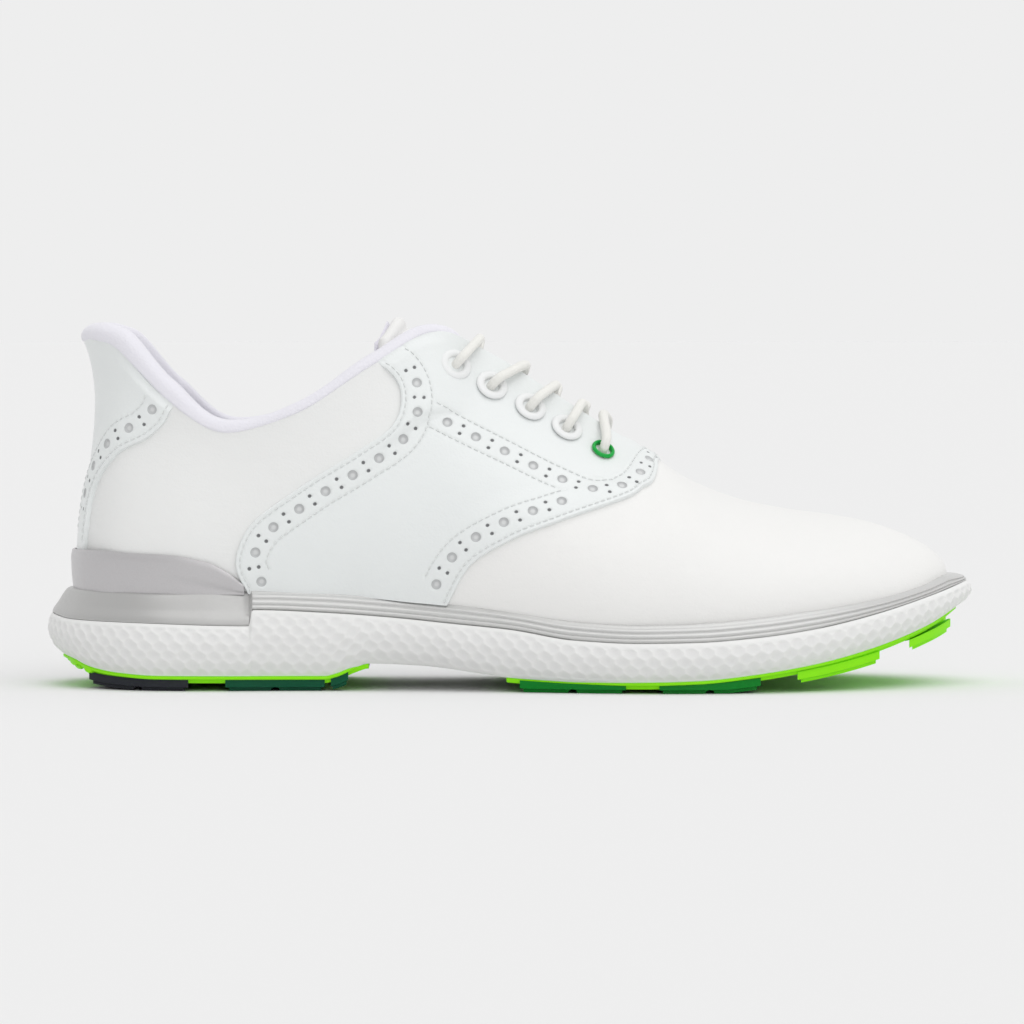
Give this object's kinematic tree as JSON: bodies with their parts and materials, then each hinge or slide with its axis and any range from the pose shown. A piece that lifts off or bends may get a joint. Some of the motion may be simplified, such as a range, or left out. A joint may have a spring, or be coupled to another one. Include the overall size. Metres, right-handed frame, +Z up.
{
  "type": "golf shoe",
  "caption": "Right golf shoe: white saddle upper with perforated bands, laced, silver frame and heel cup, foam midsole and lugged outsole.",
  "frame": {"origin": "on the ground under the middle of the shoe's bounding box", "axes": "+X from heel to toe, +Y to the inner (medial) side of this right shoe, +Z up"},
  "size_m": [0.3055, 0.1147, 0.1215],
  "materials": {
    "white_leather": "smooth white leather, fine grain",
    "saddle_leather": "smooth white leather, slightly glossier",
    "lining_fabric": "soft knitted lining, pale lavender white",
    "inner_foam": "hidden padding",
    "board": "hidden stiffener board",
    "white_eyelet": "white lacquered ring",
    "green_eyelet": "glossy green ring",
    "lace_cotton": "round braided lace, creamy white",
    "silver_cup": "satin silver coated shell",
    "silver_frame": "satin silver coated frame",
    "white_foam": "matte moulded foam",
    "charcoal_rubber": "matte moulded",
    "teal_rubber": "matte moulded",
    "green_rubber": "matte moulded",
    "lime_rubber": "matte moulded, slightly translucent look"
  },
  "bodies": {
    "shoe": {"vamp": "white_leather", "quarter_lateral": "white_leather", "quarter_medial": "white_leather", "saddle": "saddle_leather", "heel_backtab": "saddle_leather", "lining": "lining_fabric", "collar_roll": "lining_fabric", "sockliner": "lining_fabric", "collar_foam": "inner_foam", "heel_counter": "board", "toe_puff": "board", "insole_board": "board", "eyelet_stay_lateral": "board", "eyelet_stay_medial": "board", "eyelet_lateral_1": "white_eyelet", "eyelet_lateral_2": "white_eyelet", "eyelet_lateral_3": "white_eyelet", "eyelet_lateral_4": "white_eyelet", "eyelet_medial_1": "white_eyelet", "eyelet_medial_2": "white_eyelet", "eyelet_medial_3": "white_eyelet", "eyelet_medial_4": "white_eyelet", "eyelet_lateral_5": "green_eyelet", "eyelet_medial_5": "green_eyelet", "lace": "lace_cotton", "heel_cup": "silver_cup", "frame": "silver_frame", "midsole": "white_foam", "lug_heel_rear_lateral": "charcoal_rubber", "lug_heel_rear_medial": "charcoal_rubber", "lug_heel_front_lateral": "teal_rubber", "lug_heel_front_medial": "teal_rubber", "lug_heel_tip_lateral": "teal_rubber", "lug_heel_tip_medial": "teal_rubber", "lug_ball_rear_lateral": "green_rubber", "lug_ball_rear_medial": "green_rubber", "lug_ball_front_lateral": "green_rubber", "lug_ball_front_medial": "green_rubber", "outsole_heel": "lime_rubber", "outsole_forefoot": "lime_rubber", "lug_fore_lateral": "lime_rubber", "lug_fore_medial": "lime_rubber", "lug_toe_lateral": "lime_rubber", "lug_toe_medial": "lime_rubber"},
    "tongue": {"tongue_cover": "white_leather", "tongue_foam": "inner_foam", "tongue_lining": "lining_fabric"}
  },
  "joints": [
    {"name": "tongue_hinge", "type": "hinge", "parent": "shoe", "child": "tongue", "pos_m": [0.049, 0, 0.06], "axis": [0, -1, 0], "range_deg": [0, 8], "stiffness_Nm_per_rad": 1}
  ]
}
